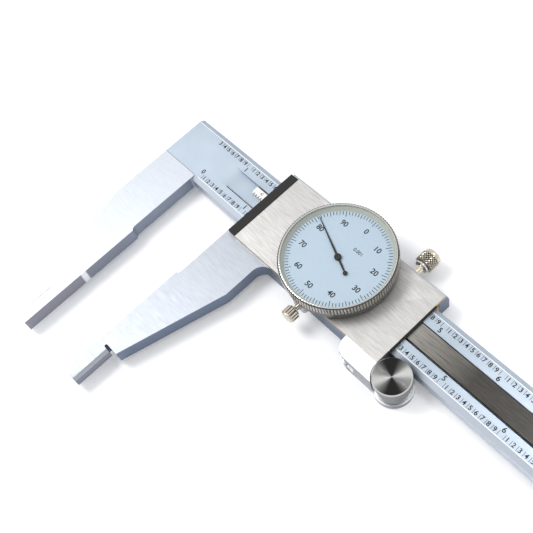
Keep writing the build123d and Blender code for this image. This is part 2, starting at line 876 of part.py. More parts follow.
def bezel_clamp():
    # A lug on the slider's lower edge with a flat tongue that reaches in over the plate.
    x0, x1 = dial_x - clamp_half_width, dial_x + clamp_half_width
    y0 = slider_lower - clamp_reach
    top = plate_top + clamp_tongue_thickness
    lug = box(x0, x1, y0, slider_lower, plate_top - clamp_drop, top)
    lug = fillet(lug.edges().filter_by(Axis.Z).group_by(Axis.Y)[0], clamp_corner)
    tongue = box(x0, x1, slider_lower, slider_lower + clamp_tongue, plate_top, top)
    hole = rod_y(dial_x, clamp_screw_z, y0 - 1, slider_lower, clamp_screw_radius + screw_clearance)
    return lug + tongue - hole


def bezel_clamp_screw():
    y0 = slider_lower - clamp_reach - clamp_neck_length
    y1 = y0 - clamp_head_length
    screw = rod_y(dial_x, clamp_screw_z, y0, slider_lower, clamp_screw_radius)
    knurl_start = y1 + clamp_end_step
    knurl = (clamp_head, clamp_knurl_count, clamp_knurl_depth)
    screw += knurled_head(dial_x, clamp_screw_z, knurl_start, y0, *knurl)
    screw += rod_y(dial_x, clamp_screw_z, y1, knurl_start, clamp_head - clamp_end_step)
    return screw


def bracket_screw_places():
    x0 = opening + bracket_start
    return [x0 + bracket_screw_first, x0 + bracket_screw_first + bracket_screw_step]


def roller_bracket():
    # A thumb lug on the slider's lower edge, with an eye under the roller.
    x0 = opening + bracket_start
    x1 = roller_centre
    y0 = bracket_lower
    lug = box(x0, x1, y0, slider_lower, bracket_bottom, bracket_top)
    corner = lug.edges().filter_by(Axis.Z).group_by(Axis.Y)[0].group_by(Axis.X)[0]
    lug = fillet(corner, bracket_corner)
    lug -= rod(roller_centre, roller_y, eye_top, bracket_top + 1, roller_disc + bracket_roller_gap)
    lug -= box(x1 - bracket_tail_before, x1 + 1, y0 - 1, slider_lower + 1, eye_top, bracket_top + 1)
    eye = rod(roller_centre, roller_y, bracket_bottom, eye_top, eye_radius)
    body = lug + eye
    body -= rod(roller_centre, roller_y, bracket_bottom - 1, eye_top + 1, axle_radius + axle_seat_gap)
    for x in bracket_screw_places():
        body -= rod_y(x, bracket_screw_z, y0 - 1, slider_lower + 1, bracket_screw_radius)
        seat = y0 + bracket_head_depth + bracket_head_sink
        body -= rod_y(x, bracket_screw_z, y0 - 1, seat, bracket_head_radius + bracket_head_gap)
    return body


def bracket_screws():
    group = []
    y_seat = bracket_lower + bracket_head_depth + bracket_head_sink
    for x in bracket_screw_places():
        screw = rod_y(x, bracket_screw_z, y_seat - bracket_head_depth, y_seat, bracket_head_radius)
        screw += rod_y(x, bracket_screw_z, y_seat, slider_lower + bracket_screw_bite, bracket_screw_radius)
        socket = Rot(90, 0, 0) * extrude(RegularPolygon(bracket_socket, 6), bracket_head_depth / 2, both=True)
        screw -= Pos(x, y_seat - bracket_head_depth, bracket_screw_z) * socket
        group.append(screw)
    return Compound(group)


def thumb_roller():
    # A plain drum under a wider disc whose face is turned slightly hollow.
    z_disc = roller_disc_bottom
    z0 = eye_top + washer_thickness
    profile = [
        (axle_radius + axle_clearance, z0),
        (roller_drum - drum_edge, z0),
        (roller_drum, z0 + drum_edge),
        (roller_drum, z_disc - roller_groove_height),
        (roller_drum - roller_groove, z_disc - roller_groove_height),
        (roller_drum - roller_groove, z_disc),
        (roller_disc - roller_edge, z_disc),
        (roller_disc, z_disc + roller_edge),
        (roller_disc, roller_disc_top - roller_edge),
        (roller_disc - roller_edge, roller_disc_top),
        (0, roller_disc_top - roller_cone),
        (0, z_disc - roller_roof),
        (axle_radius + axle_clearance, z_disc - roller_roof),
    ]
    return ring_of(profile, roller_centre, roller_y)


def roller_axle():
    z0, z1 = bracket_bottom, roller_disc_bottom - roller_roof - axle_end_gap
    pin = rod(roller_centre, roller_y, z0, z1, axle_radius)
    slot_low, slot_high = roller_y - slot_half_width, roller_y + slot_half_width
    slot = box(roller_centre - 2, roller_centre + 2, slot_low, slot_high, z0 - 1, z0 + slot_depth)
    return pin - slot


def roller_washer():
    ring = rod(roller_centre, roller_y, eye_top, eye_top + washer_thickness, washer_radius)
    return ring - rod(roller_centre, roller_y, eye_top - 1, eye_top + 1, axle_radius + axle_clearance)


def cover_strip():
    x0 = opening + slider_end - strip_overlap
    x1 = beam_right - strip_end_margin
    half = groove_half_width - strip_gap
    return box(x0, x1, -half, half, beam_top - strip_thickness, beam_top)


pieces = {
    "beam": beam,
    "rack": rack,
    "rack_screws": rack_screws,
    "end_stop": end_stop,
    "end_stop_screws": end_stop_screws,
    "slider_body": slider_body,
    "front_plate": front_plate,
    "plate_screws": plate_screws,
    "front_wiper": front_wiper,
    "rear_wiper": rear_wiper,
    "gib": gib,
    "gib_screws": gib_screws,
    "cover_strip": cover_strip,
    "dial_case": dial_case,
    "case_screws": case_screws,
    "movement_bridge": movement_bridge,
    "bridge_screws": bridge_screws,
    "rack_pinion": rack_pinion,
    "drive_gear": drive_gear,
    "backlash_gear": backlash_gear,
    "backlash_spring": backlash_spring,
    "centre_pinion": centre_pinion,
    "pointer": pointer,
    "dial_face": dial_face,
    "crystal": crystal,
    "bezel": bezel,
    "bezel_retainer": bezel_retainer,
    "bezel_clamp": bezel_clamp,
    "bezel_clamp_screw": bezel_clamp_screw,
    "lock_screw": lock_screw,
    "roller_bracket": roller_bracket,
    "bracket_screws": bracket_screws,
    "roller_axle": roller_axle,
    "roller_washer": roller_washer,
    "thumb_roller": thumb_roller,
}

os.makedirs("parts", exist_ok=True)
for name, make in pieces.items():
    export_step(make(), f"parts/{name}.step")
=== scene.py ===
import json
import math
import bpy
import bmesh
from mathutils import Matrix, Vector


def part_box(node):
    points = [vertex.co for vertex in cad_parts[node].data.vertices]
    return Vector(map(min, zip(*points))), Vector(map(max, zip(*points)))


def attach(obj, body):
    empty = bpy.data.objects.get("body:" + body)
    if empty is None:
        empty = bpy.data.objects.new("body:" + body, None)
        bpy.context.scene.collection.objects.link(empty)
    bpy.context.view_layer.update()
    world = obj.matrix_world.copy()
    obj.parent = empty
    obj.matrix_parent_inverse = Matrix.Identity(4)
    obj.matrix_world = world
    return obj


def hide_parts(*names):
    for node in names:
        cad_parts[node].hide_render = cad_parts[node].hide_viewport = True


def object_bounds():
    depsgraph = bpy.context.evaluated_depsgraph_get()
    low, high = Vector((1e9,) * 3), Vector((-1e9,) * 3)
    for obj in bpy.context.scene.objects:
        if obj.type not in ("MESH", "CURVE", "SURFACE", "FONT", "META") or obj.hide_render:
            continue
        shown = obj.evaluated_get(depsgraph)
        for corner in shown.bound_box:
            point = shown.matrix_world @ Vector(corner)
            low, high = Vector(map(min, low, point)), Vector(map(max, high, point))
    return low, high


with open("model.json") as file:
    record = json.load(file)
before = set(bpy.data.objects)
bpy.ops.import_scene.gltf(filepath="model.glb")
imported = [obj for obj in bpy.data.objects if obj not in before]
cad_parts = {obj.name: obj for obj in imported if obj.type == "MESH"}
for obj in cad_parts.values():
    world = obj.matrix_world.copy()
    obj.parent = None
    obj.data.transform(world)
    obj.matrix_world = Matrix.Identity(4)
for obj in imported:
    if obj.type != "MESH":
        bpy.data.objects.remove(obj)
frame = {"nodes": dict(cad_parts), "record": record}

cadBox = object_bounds()
mm = 0.001  # sizes below are in mm, Blender's are in metres
inch = 25.4
bodies = frame["record"]["behaviour"]["bodies"]
bodyOf = {node: body for body, nodes in bodies.items() for node in nodes}
print("frame loaded:", len(frame["nodes"]), "nodes")


# Camera and light

# The camera is solved from the beam's own inch marks
cameraSetup = {
    "place": (202.25, -84.02, 285.20),
    "forward": (-0.46538, 0.20406, -0.86127),
    "up": (-0.58908, 0.65485, 0.47345),
    "lens": 59.378,
    "sensor": 36.0,
    "clipStart": 10.0,
}


def placeCamera(setup):
    data = bpy.data.cameras.new("photoCamera")
    data.lens = setup["lens"]
    data.sensor_width = setup["sensor"]
    data.clip_start = setup["clipStart"] * mm
    camera = bpy.data.objects.new("photoCamera", data)
    forward = Vector(setup["forward"]).normalized()
    right = forward.cross(Vector(setup["up"])).normalized()
    up = right.cross(forward)
    turn = Matrix((right, up, -forward)).transposed().to_4x4()
    camera.matrix_world = Matrix.Translation(Vector(setup["place"]) * mm) @ turn
    bpy.context.scene.collection.objects.link(camera)
    bpy.context.scene.camera = camera


def linearColor(code, alpha=1.0):
    # An sRGB hex colour as the linear numbers that Blender works with.
    channels = [int(code[i:i + 2], 16) / 255 for i in (1, 3, 5)]
    linear = [c / 12.92 if c <= 0.04045 else ((c + 0.055) / 1.055) ** 2.4 for c in channels]
    return (*linear, alpha)


def addNode(tree, kind, settings=None, links=None):
    # settings: attribute or socket name to value; links: socket name to a node's output socket
    node = tree.nodes.new(kind)
    for key, value in (settings or {}).items():
        if isinstance(key, str) and hasattr(node, key):
            setattr(node, key, value)
        else:
            node.inputs[key].default_value = value
    for key, output in (links or {}).items():
        tree.links.new(output, node.inputs[key])
    return node


lampSetup = {
    "key": {  # soft main light from the jaws' side
        "place": (-150.0, -115.0, 400.0),
        "aim": (60.0, -20.0, 0.0),
        "size": 200.0,
        "watts": 1.05,
        "spread": 180.0,
    },
    "fill": {  # keeps the shadows open
        "place": (185.0, 280.0, 430.0),
        "aim": (90.0, -20.0, 0.0),
        "size": 280.0,
        "watts": 0.15,
        "spread": 180.0,
    },
    "rim": {  # narrow lamp that lifts the beam's far end
        "place": (275.0, 115.0, 430.0),
        "aim": (275.0, -10.0, 0.0),
        "size": 120.0,
        "watts": 0.14,
        "spread": 38.0,
    },
}
worldSetup = {"sky": "#E4E6EA", "skyStrength": 1.0, "white": "#FFFFFF", "whiteStrength": 1.0}


def placeLamp(name, setup):
    data = bpy.data.lights.new(name + "Light", "AREA")
    data.shape = "DISK"
    data.size = setup["size"] * mm
    data.energy = setup["watts"]
    data.spread = math.radians(setup["spread"])
    lamp = bpy.data.objects.new(name + "Light", data)
    place = Vector(setup["place"]) * mm
    aim = Vector(setup["aim"]) * mm
    lamp.location = place
    lamp.rotation_euler = (aim - place).to_track_quat("-Z", "Y").to_euler()
    bpy.context.scene.collection.objects.link(lamp)


def backdropRays(tree):
    # 1 for the rays that meet the white background: from the camera, through the crystal and off metal.
    clampedSum = {"operation": "ADD", "use_clamp": True}
    rays = addNode(tree, "ShaderNodeLightPath")
    seen = addNode(tree, "ShaderNodeMath", clampedSum,
                   {0: rays.outputs["Is Camera Ray"], 1: rays.outputs["Is Transmission Ray"]})
    return addNode(tree, "ShaderNodeMath", clampedSum,
                   {0: seen.outputs[0], 1: rays.outputs["Is Glossy Ray"]})


def makeWorld(setup):
    # A plain grey-white sky lights the matt surfaces, and white stands behind everything.
    world = bpy.data.worlds.new("studio")
    world.use_nodes = True
    bpy.context.scene.world = world
    tree = world.node_tree
    tree.nodes.clear()
    sky = addNode(tree, "ShaderNodeBackground",
                  {"Color": linearColor(setup["sky"]), "Strength": setup["skyStrength"]})
    white = addNode(tree, "ShaderNodeBackground",
                    {"Color": linearColor(setup["white"]), "Strength": setup["whiteStrength"]})
    mix = addNode(tree, "ShaderNodeMixShader",
                  links={0: backdropRays(tree).outputs[0], 1: sky.outputs[0], 2: white.outputs[0]})
    addNode(tree, "ShaderNodeOutputWorld", links={"Surface": mix.outputs[0]})


placeCamera(cameraSetup)
for lampName in lampSetup:
    placeLamp(lampName, lampSetup[lampName])
makeWorld(worldSetup)
print("camera and light placed")


# Materials

patternSetup = {
    "streakLength": 30,  # streaks of brushed metal, in widths
    "cloud": 14.0,  # slow change of tone over satin chrome
    "marks": 1.5,  # handling marks on plated metal
    "haze": 6.0,  # wiping marks on the crystal
    "relief": 0.01,  # height of specks and marks
}


def newMaterial(name):
    material = bpy.data.materials.new(name)
    material.use_nodes = True
    material.node_tree.nodes.clear()
    return material, material.node_tree


def finishMaterial(tree, settings, links):
    shader = addNode(tree, "ShaderNodeBsdfPrincipled", settings, links)
    addNode(tree, "ShaderNodeOutputMaterial", links={"Surface": shader.outputs[0]})


def addZones(tree, place, baseTone, zones):
    # zones: axis, then stops of place in mm, colour and how much of it covers the metal's own tone there;
    # some zones paint shade or a highlight
    axis, stops = zones
    start, end = stops[0][0], stops[-1][0]
    parts = addNode(tree, "ShaderNodeSeparateXYZ", links={0: place.outputs["Object"]})
    reach = addNode(tree, "ShaderNodeMapRange", {"From Min": start * mm, "From Max": end * mm},
                    {"Value": parts.outputs[axis]})
    ramp = addNode(tree, "ShaderNodeValToRGB", links={0: reach.outputs[0]})
    elements = ramp.color_ramp.elements
    elements.remove(elements[1])
    elements[0].position = 0
    elements[0].color = linearColor(stops[0][1], stops[0][2])
    for where, color, cover in stops[1:]:
        elements.new((where - start) / (end - start)).color = linearColor(color, cover)
    return addNode(tree, "ShaderNodeMix", {"data_type": "RGBA"},
                   {"Factor": ramp.outputs["Alpha"], "A": baseTone.outputs["Result"],
                    "B": ramp.outputs["Color"]})


def brushedMetal(name, color, tint, roughness, grainMm, along="X", depthMm=0.02, contrast=0.05, zones=None):
    # Brushed or ground metal: straight streaks in tone and gloss. Real grain is some 0.03 mm wide,
    # and grainMm draws it coarser so that it shows.
    material, tree = newMaterial(name)
    place = addNode(tree, "ShaderNodeTexCoord")
    stretch = [1 / (grainMm * mm)] * 3
    stretch["XYZ".index(along)] /= patternSetup["streakLength"]
    scaled = addNode(tree, "ShaderNodeVectorMath", {"operation": "MULTIPLY", 1: stretch},
                     {0: place.outputs["Object"]})
    grain = addNode(tree, "ShaderNodeTexNoise", {"Scale": 1.0, "Detail": 4.0, "Roughness": 0.65},
                    {"Vector": scaled.outputs[0]})
    spread = addNode(tree, "ShaderNodeMapRange", {"From Min": 0.3, "From Max": 0.7},
                     {"Value": grain.outputs[0]})
    tone = addNode(tree, "ShaderNodeMix",
                   {"data_type": "RGBA", "A": linearColor(color), "B": linearColor(tint)},
                   {"Factor": spread.outputs[0]})
    if zones:
        tone = addZones(tree, place, tone, zones)
    gloss = addNode(tree, "ShaderNodeMapRange",
                    {"To Min": roughness - contrast, "To Max": roughness + contrast},
                    {"Value": spread.outputs[0]})
    bump = addNode(tree, "ShaderNodeBump", {"Strength": 0.35, "Distance": depthMm * mm},
                   {"Height": grain.outputs[0]})
    finishMaterial(tree, {"Metallic": 1.0},
                   {"Base Color": tone.outputs["Result"], "Roughness": gloss.outputs[0],
                    "Normal": bump.outputs[0]})
    return material


def satinChrome(name, color, tint, roughness, speckMm):
    # Chrome over blasted steel: an even speck and no grain. The real speck is some 0.05 mm,
    # and speckMm draws it coarser so that it shows.
    material, tree = newMaterial(name)
    place = addNode(tree, "ShaderNodeTexCoord")
    speck = addNode(tree, "ShaderNodeTexNoise", {"Scale": 1 / (speckMm * mm), "Detail": 2.0},
                    {"Vector": place.outputs["Object"]})
    cloud = addNode(tree, "ShaderNodeTexNoise", {"Scale": 1 / (patternSetup["cloud"] * mm), "Detail": 1.0},
                    {"Vector": place.outputs["Object"]})
    both = addNode(tree, "ShaderNodeMath", {"operation": "ADD"}, {0: speck.outputs[0], 1: cloud.outputs[0]})
    spread = addNode(tree, "ShaderNodeMapRange", {"From Min": 0.7, "From Max": 1.3},
                     {"Value": both.outputs[0]})
    tone = addNode(tree, "ShaderNodeMix",
                   {"data_type": "RGBA", "A": linearColor(color), "B": linearColor(tint)},
                   {"Factor": spread.outputs[0]})
    bump = addNode(tree, "ShaderNodeBump", {"Strength": 0.25, "Distance": patternSetup["relief"] * mm},
                   {"Height": speck.outputs[0]})
    finishMaterial(tree, {"Metallic": 1.0, "Roughness": roughness},
                   {"Base Color": tone.outputs["Result"], "Normal": bump.outputs[0]})
    return material


def turnedMetal(name, centre, face):
    # Face-turned metal: its rings are too fine to draw one by one and fan the light out into two bright
    # and two dark wedges, which are drawn here by the angle about the centre.
    material, tree = newMaterial(name)
    place = addNode(tree, "ShaderNodeTexCoord")
    local = addNode(tree, "ShaderNodeVectorMath", {"operation": "SUBTRACT", 1: centre},
                    {0: place.outputs["Object"]})
    flat = addNode(tree, "ShaderNodeVectorMath", {"operation": "MULTIPLY", 1: (1, 1, 0)},
                   {0: local.outputs[0]})
    reach = addNode(tree, "ShaderNodeVectorMath", {"operation": "LENGTH"}, {0: flat.outputs[0]})
    rings = addNode(tree, "ShaderNodeMath", {"operation": "MULTIPLY", 1: 1 / (face["ringMm"] * mm)},
                    {0: reach.outputs["Value"]})
    wave = addNode(tree, "ShaderNodeTexNoise", {"noise_dimensions": "1D", "Scale": 1.0, "Detail": 3.0},
                   {"W": rings.outputs[0]})
    outward = addNode(tree, "ShaderNodeVectorMath", {"operation": "NORMALIZE"}, {0: flat.outputs[0]})
    turn = math.radians(face["wedgeTurn"])
    across = addNode(tree, "ShaderNodeVectorMath",
                     {"operation": "DOT_PRODUCT", 1: (math.cos(turn), math.sin(turn), 0)},
                     {0: outward.outputs[0]})
    turned = addNode(tree, "ShaderNodeMath", {"operation": "ABSOLUTE"}, {0: across.outputs["Value"]})
    wedge = addNode(tree, "ShaderNodeMapRange",
                    {"From Min": face["wedgeStart"], "From Max": face["wedgeFull"],
                     "To Max": face["wedgeMost"], "interpolation_type": "SMOOTHSTEP"},
                    {"Value": turned.outputs[0]})
    fine = addNode(tree, "ShaderNodeMath", {"operation": "MULTIPLY_ADD", 1: face["ringTone"]},
                   {0: wave.outputs[0], 2: wedge.outputs[0]})
    tone = addNode(tree, "ShaderNodeMix",
                   {"data_type": "RGBA", "A": linearColor(face["dark"]), "B": linearColor(face["color"])},
                   {"Factor": fine.outputs[0]})
    gloss = addNode(tree, "ShaderNodeMapRange",
                    {"To Min": face["roughness"] - face["contrast"],
                     "To Max": face["roughness"] + face["contrast"]},
                    {"Value": wave.outputs[0]})
    bump = addNode(tree, "ShaderNodeBump", {"Strength": 0.3, "Distance": patternSetup["relief"] * mm},
                   {"Height": wave.outputs[0]})
    finishMaterial(tree, {"Metallic": 1.0, "Anisotropic": face["anisotropy"]},
                   {"Base Color": tone.outputs["Result"], "Roughness": gloss.outputs[0],
                    "Normal": bump.outputs[0], "Tangent": flat.outputs[0]})
    return material


def platedMetal(name, color, dark, roughness):
    # Plated or polished metal with faint handling marks that change its gloss.
    material, tree = newMaterial(name)
    place = addNode(tree, "ShaderNodeTexCoord")
    marks = addNode(tree, "ShaderNodeTexNoise", {"Scale": 1 / (patternSetup["marks"] * mm), "Detail": 5.0},
                    {"Vector": place.outputs["Object"]})
    tone = addNode(tree, "ShaderNodeMix",
                   {"data_type": "RGBA", "A": linearColor(color), "B": linearColor(dark)},
                   {"Factor": marks.outputs[0]})
    gloss = addNode(tree, "ShaderNodeMapRange", {"To Min": roughness * 0.6, "To Max": roughness * 1.4},
                    {"Value": marks.outputs[0]})
    bump = addNode(tree, "ShaderNodeBump", {"Strength": 0.15, "Distance": patternSetup["relief"] * mm},
                   {"Height": marks.outputs[0]})
    finishMaterial(tree, {"Metallic": 1.0},
                   {"Base Color": tone.outputs["Result"], "Roughness": gloss.outputs[0],
                    "Normal": bump.outputs[0]})
    return material


def paintCoat(name, color, tint, roughness, speckMm, coat=0.0):
    # Enamel, lacquer, ink or moulded rubber: a faint mottling in tone, little or no coat.
    # The real mottling is under 0.1 mm, and speckMm draws it coarser so that it shows.
    material, tree = newMaterial(name)
    place = addNode(tree, "ShaderNodeTexCoord")
    speck = addNode(tree, "ShaderNodeTexNoise", {"Scale": 1 / (speckMm * mm), "Detail": 3.0},
                    {"Vector": place.outputs["Object"]})
    tone = addNode(tree, "ShaderNodeMix",
                   {"data_type": "RGBA", "A": linearColor(color), "B": linearColor(tint)},
                   {"Factor": speck.outputs[0]})
    bump = addNode(tree, "ShaderNodeBump", {"Strength": 0.2, "Distance": patternSetup["relief"] * mm},
                   {"Height": speck.outputs[0]})
    finishMaterial(tree, {"Roughness": roughness, "Coat Weight": coat},
                   {"Base Color": tone.outputs["Result"], "Normal": bump.outputs[0]})
    return material


def clearAcrylic(name):
    # Flat polished acrylic: lets the dial's light straight through, with a faint gloss of its own.
    material, tree = newMaterial(name)
    place = addNode(tree, "ShaderNodeTexCoord")
    haze = addNode(tree, "ShaderNodeTexNoise", {"Scale": 1 / (patternSetup["haze"] * mm), "Detail": 2.0},
                   {"Vector": place.outputs["Object"]})
    gloss = addNode(tree, "ShaderNodeMapRange", {"To Min": 0.02, "To Max": 0.08}, {"Value": haze.outputs[0]})
    finishMaterial(tree, {"Base Color": linearColor("#0A0E12"), "Alpha": 0.05, "IOR": 1.49},
                   {"Roughness": gloss.outputs[0]})
    return material


# Where the metal's tone changes along a piece: axis, then place, colour and cover
stripPaintedShade = ("X", ((96.0, "#1C1A18", 0.0), (135.0, "#1C1A18", 0.85)))  # painted shade, darker towards the far end
jawSideTonesAndHighlight = ("Y", (
    (-110.0, "#86868F", 0.9),  # outer end with the nib
    (-69.4, "#86868F", 0.9),
    (-69.0, "#DDDFE6", 1.0),  # painted highlight on a small polished step beside it
    (-67.0, "#DDDFE6", 1.0),
    (-66.6, "#7E818C", 0.8),  # greyer part of the jaw, fading out towards the beam
    (-50.0, "#7E818C", 0.6),
    (-44.0, "#7E818C", 0.1),
    (-12.2, "#7E818C", 0.0),
    (-11.8, "#C0C8D2", 0.8),  # side of the beam itself
    (12.0, "#C0C8D2", 0.8),
))
nibPaleTone = ("Y", (
    (-110.0, "#7D808C", 0.9),  # paler over the nib of the sliding jaw
    (-80.6, "#7D808C", 0.9),
    (-80.2, "#727D90", 0.0),
    (0.0, "#727D90", 0.0),
))
rollerMiddle = [(low + high) / 2 for low, high in zip(*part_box("thumb_roller"))]
rollerFace = {
    "color": "#8F8F8E",
    "dark": "#1E1E20",
    "roughness": 0.38,
    "contrast": 0.05,
    "ringMm": 0.12,  # real feed is some 0.05 mm, drawn coarser so that it shows
    "ringTone": 0.12,
    "anisotropy": 1.0,
    "wedgeTurn": 47.0,  # way of the bright wedges, in degrees from X
    "wedgeStart": 0.3,
    "wedgeFull": 0.97,
    "wedgeMost": 0.9,
}
finishes = {
    # Satin chrome on the beam: even cool grey, no grain
    "beamFace": satinChrome("satinChromeBeam", "#B3BEC9", "#A5B0BC", roughness=0.58, speckMm=0.25),
    # Brushed jaw faces: pale, with fine streaks across the jaw, the sliding one a shade darker
    "jawFace": brushedMetal("brushedJawSteel", "#C3C7CE", "#B8BDC5", 0.55, grainMm=0.16, contrast=0.06),
    "sliderFace": brushedMetal("brushedSliderSteel", "#ABAFB6", "#9DA2AA", 0.52, grainMm=0.16,
                               contrast=0.06),
    # Ground sides: a slate blue, darker than the flat faces, that is painted shade; greyer at the jaws'
    # outer ends, with a painted highlight on a small step of the fixed jaw
    "beamEdge": brushedMetal("groundBeamEdgeShadeAndHighlight", "#757F90", "#8B93A0", 0.42, grainMm=0.3,
                             along="Y", zones=jawSideTonesAndHighlight),
    "groundEdge": brushedMetal("groundEdgePaintedShade", "#646F83", "#778295", 0.42, grainMm=0.3,
                               along="Y", zones=nibPaleTone),
    # Brushed plate: the strongest streaks, lengthwise, light and dark side by side
    "plateFace": brushedMetal("brushedPlateSteel", "#D0CFCD", "#A6A5A3", 0.5, grainMm=0.2,
                              depthMm=0.03, contrast=0.08),
    "plateEdge": brushedMetal("tanPlateEdge", "#B9A68E", "#A18F79", 0.4, grainMm=0.3),  # warm tan, a painted reflection on the plate's cut edges
    # Spring steel strip in the groove: bright by the slider, painted shade makes it nearly black further out
    "strip": brushedMetal("brushedSpringSteel", "#CDCAC3", "#787570", 0.35, grainMm=0.28,
                          depthMm=0.03, contrast=0.1, zones=stripPaintedShade),
    # Ground rack: nearly white, streaks across it
    "rackSteel": brushedMetal("groundRackSteel", "#FAF7F2", "#E8E4DE", 0.3, grainMm=0.2,
                              along="Y", depthMm=0.01),
    # Paint, print and rubber
    "rubber": paintCoat("blackRubber", "#1C1B1A", "#262524", 0.85, speckMm=0.4),  # dead matt black
    "ink": paintCoat("blackEngravingPaintAndShade", "#0E0E0E", "#191918", 0.9, speckMm=0.3),  # matt, crisp; also paints the shade line along the groove's lower edge
    "dialInk": paintCoat("greyBlackDialPrint", "#23272D", "#2E3339", 0.8, speckMm=0.3),  # softer black
    "enamel": paintCoat("paleBlueDialEnamel", "#C4D6E3", "#BED1DF", 0.5, speckMm=2.0),  # flat pale blue
    "innerWall": paintCoat("greyGreenInnerWall", "#C3C7BA", "#B7BBAE", 0.5, speckMm=0.5),  # dull ring
    "lacquer": paintCoat("blackPointerLacquer", "#0A0A0A", "#131313", 0.5, speckMm=0.6),  # deep black
    "edgeLight": paintCoat("paintedCreaseHighlight", "#FAFCFE", "#EEF3F7", 0.3, speckMm=0.5, coat=0.2),  # painted highlight along the polished crease
    "shadeLine": paintCoat("paintedShadeLine", "#1A1917", "#242320", 0.6, speckMm=0.3),  # painted shade in the roller's groove
    "acrylic": clearAcrylic("clearAcrylic"),  # hardly seen but for a faint gloss
    # Nickel on the thumb screws: warm and bright; the brown in the valleys is painted shade
    "nickel": platedMetal("nickelPlatedBrass", "#D8D0C2", "#C0B8A9", roughness=0.18),
    "nickelValley": platedMetal("nickelKnurlValley", "#2E2A24", "#221F1A", roughness=0.4),
    # Bezel: grey knurl; its dark valleys, the dark band above it and the darker skirt are painted shade, the
    # bright polished lip a painted highlight
    "bezelKnurl": platedMetal("satinChromeKnurl", "#BDBCB8", "#A5A4A0", roughness=0.24),
    "knurlValley": platedMetal("darkKnurlValley", "#5C5A56", "#474541", roughness=0.4),
    "knurlEdge": platedMetal("paintedShadeKnurlEdge", "#5C5A56", "#484643", roughness=0.3),
    # polished lip, also on the screws' collars and the roller's chamfer, painted lighter: a painted
    # highlight
    "bezelLip": platedMetal("polishedLipPaintedHighlight", "#D2D2D0", "#BBBBB8", roughness=0.2),
    "bezelSkirt": platedMetal("darkBezelSkirt", "#6E6C67", "#5A5853", roughness=0.26),
    # Thumb lug and roller: the lug's white top is a painted highlight, and the dark glossy sides of lug and
    # roller are painted shade
    "lugTopHighlight": platedMetal("lugTopPaintedHighlight", "#FAFBFC", "#EEF0F2", roughness=0.36),
    "lugSide": platedMetal("polishedLugSidePaintedShade", "#7E848F", "#666B76", roughness=0.2),
    "polished": platedMetal("polishedSteelPaintedShade", "#6C6E73", "#54565B", roughness=0.14),
    "roller": turnedMetal("faceTurnedSteel", rollerMiddle, rollerFace),
    # Hidden works and plain parts
    "screw": platedMetal("turnedScrewSteel", "#BDBDBA", "#A4A4A0", roughness=0.3),  # clean grey
    "case": platedMetal("turnedCaseSteel", "#8E8E8C", "#7A7A78", roughness=0.35),  # mid grey
    "blued": platedMetal("bluedSpringSteel", "#4A5568", "#3A4456", roughness=0.25),  # dark blue
    "plain": brushedMetal("groundPlainSteel", "#B8BABD", "#9DA0A4", 0.35, grainMm=0.25),  # soft streaks
    "brass": brushedMetal("rolledBrass", "#C79A4E", "#B0843C", 0.32, grainMm=0.25),  # warm yellow
}
print("materials made:", len(finishes))


# Shapes

sharpAngle = math.radians(32)  # faces that meet at more than this show an edge


def smoothFaces(mesh):
    for face in mesh.polygons:
        face.use_smooth = True
    mesh.set_sharp_from_angle(angle=sharpAngle)


def showPiece(name, mesh, node, materials):
    # A new piece on the body of a CAD node and in its material slot.
    piece = bpy.data.objects.new(name, mesh)
    bpy.context.scene.collection.objects.link(piece)
    indices = [face.material_index for face in mesh.polygons]
    mesh.materials.clear()
    for material in materials:
        mesh.materials.append(finishes[material])
    for face, index in zip(mesh.polygons, indices):
        face.material_index = index
    smoothFaces(mesh)
    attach(piece, bodyOf[node])
    return piece


def boxMiddle(node):
    low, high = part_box(node)
    return [(a + b) / 2 / mm for a, b in zip(low, high)]


# Machined pieces: the node's own shape with each sharp edge broken by a small bevel that catches the light.
# Each has its bevel's width and the finishes of flat faces, of sides and of the jaw's flat face. The sides'
# finishes paint their shade, and on the front plate a warm reflection.
jawLineY = -9.4  # the fixed jaw leaves the beam here
bevelledPieces = {
    "beam": (0.18, ("beamFace", "beamEdge", "jawFace")),
    "slider_body": (0.18, ("sliderFace", "groundEdge")),
    "front_plate": (0.12, ("plateFace", "plateEdge")),
    "front_wiper": (0.1, ("rubber",)),
    "roller_bracket": (0.3, ("lugTopHighlight", "lugSide")),
}
bevelSetup = {
    "join": 0.002,  # corners closer than this become one
    "flatDegrees": 1.5,  # faces that bend less than this become one
    "segments": 2,
    "sideBelow": 0.4,  # a face is a side where its normal rises less than this
    "jawSideBelow": 0.9,
    "jawFlatAbove": 0.95,  # a face of the fixed jaw is flat where it rises more than this
    "grooveZone": 5.0,  # half width about the beam's groove, whose walls keep the beam's finish
}


def finishIndex(node, face, finishCount):
    # 0 for a flat face, 1 for a side, 2 for the flat face of the fixed jaw
    y, rise = face.calc_center_median().y / mm, face.normal.z
    onJaw = node == "beam" and y < jawLineY
    inGroove = node == "beam" and abs(y) < bevelSetup["grooveZone"]
    if onJaw and rise > bevelSetup["jawFlatAbove"]:
        return 2
    sideBelow = bevelSetup["jawSideBelow" if onJaw else "sideBelow"]
    # a side takes the second finish, which paints its shade
    return 1 if finishCount > 1 and abs(rise) < sideBelow and not inGroove else 0


